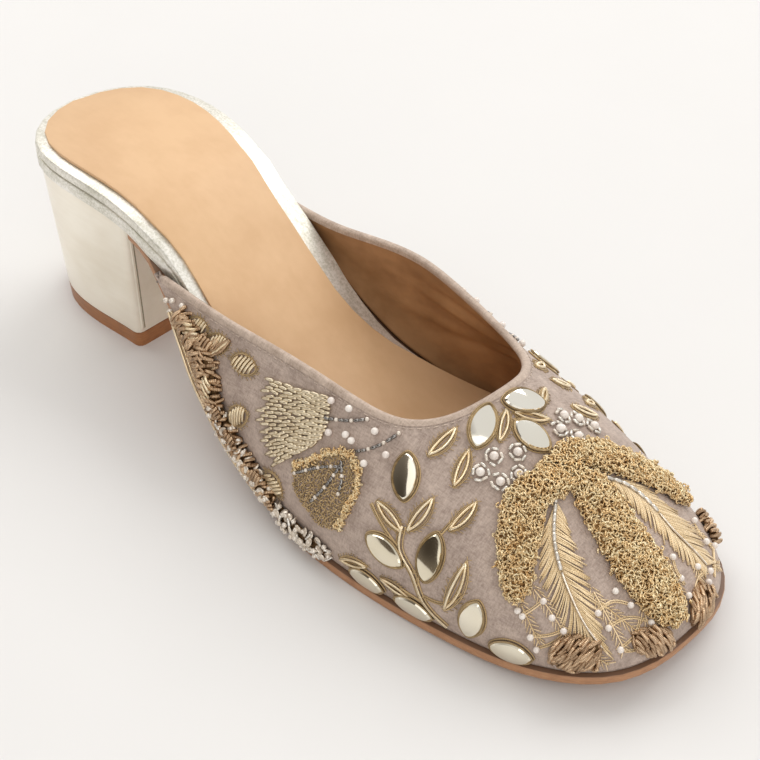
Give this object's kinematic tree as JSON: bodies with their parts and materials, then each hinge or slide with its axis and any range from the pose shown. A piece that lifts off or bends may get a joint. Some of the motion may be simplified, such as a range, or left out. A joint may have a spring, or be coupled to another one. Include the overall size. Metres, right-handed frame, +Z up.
{
  "type": "embellished block-heel mule",
  "caption": "Backless square-toed mule for the right foot, with a wrapped block heel, a hollow cloth upper and raised metallic embroidery and mirror leaves on the vamp.",
  "frame": {"origin": "on the floor, under the middle of the shoe's box", "axes": "+X towards the toe along the shoe's length, +Y towards the medial side (the wearer's left), +Z up from the floor"},
  "size_m": [0.2384, 0.086, 0.0601],
  "materials": {
    "brown_sole": "smooth, edge painted",
    "pale_gold_leather": "foiled metallic, lightly crackled",
    "top_lift": "caramel brown, satin",
    "tan_leather": "matt",
    "mauve_cloth": "fine woven satin outside, tan leather lining inside",
    "gold_coil": "cut lengths of fine gilt wire coil, stitched down",
    "mirror": "silvered, in a gilt wire rim"
  },
  "bodies": {
    "root": {"outsole": "brown_sole", "heel_rand": "pale_gold_leather", "heel_block": "pale_gold_leather", "top_lift": "top_lift", "footbed": "pale_gold_leather", "insole_sock": "tan_leather", "upper": "mauve_cloth", "coil_band_lateral": "gold_coil", "coil_band_centre": "gold_coil", "coil_band_medial": "gold_coil", "coil_tuft_lateral_1": "gold_coil", "coil_tuft_lateral_2": "gold_coil", "coil_tuft_medial_1": "gold_coil", "coil_tuft_medial_2": "gold_coil", "coil_vine_lateral": "gold_coil", "sequin_edge_lateral": "gold_coil", "coil_vine_medial": "gold_coil", "sequin_edge_medial": "gold_coil", "mirror_leaf_throat_1": "mirror", "mirror_leaf_throat_2": "mirror", "mirror_leaf_throat_3": "mirror", "mirror_leaf_lateral_1": "mirror", "mirror_leaf_lateral_2": "mirror", "mirror_leaf_lateral_3": "mirror", "mirror_leaf_lateral_4": "mirror", "mirror_leaf_lateral_5": "mirror", "mirror_leaf_lateral_6": "mirror", "mirror_leaf_lateral_7": "mirror", "mirror_leaf_medial_1": "mirror", "mirror_leaf_medial_2": "mirror", "mirror_leaf_medial_3": "mirror", "mirror_leaf_medial_4": "mirror", "mirror_leaf_medial_5": "mirror", "mirror_leaf_medial_6": "mirror", "mirror_leaf_medial_7": "mirror"}
  },
  "joints": []
}
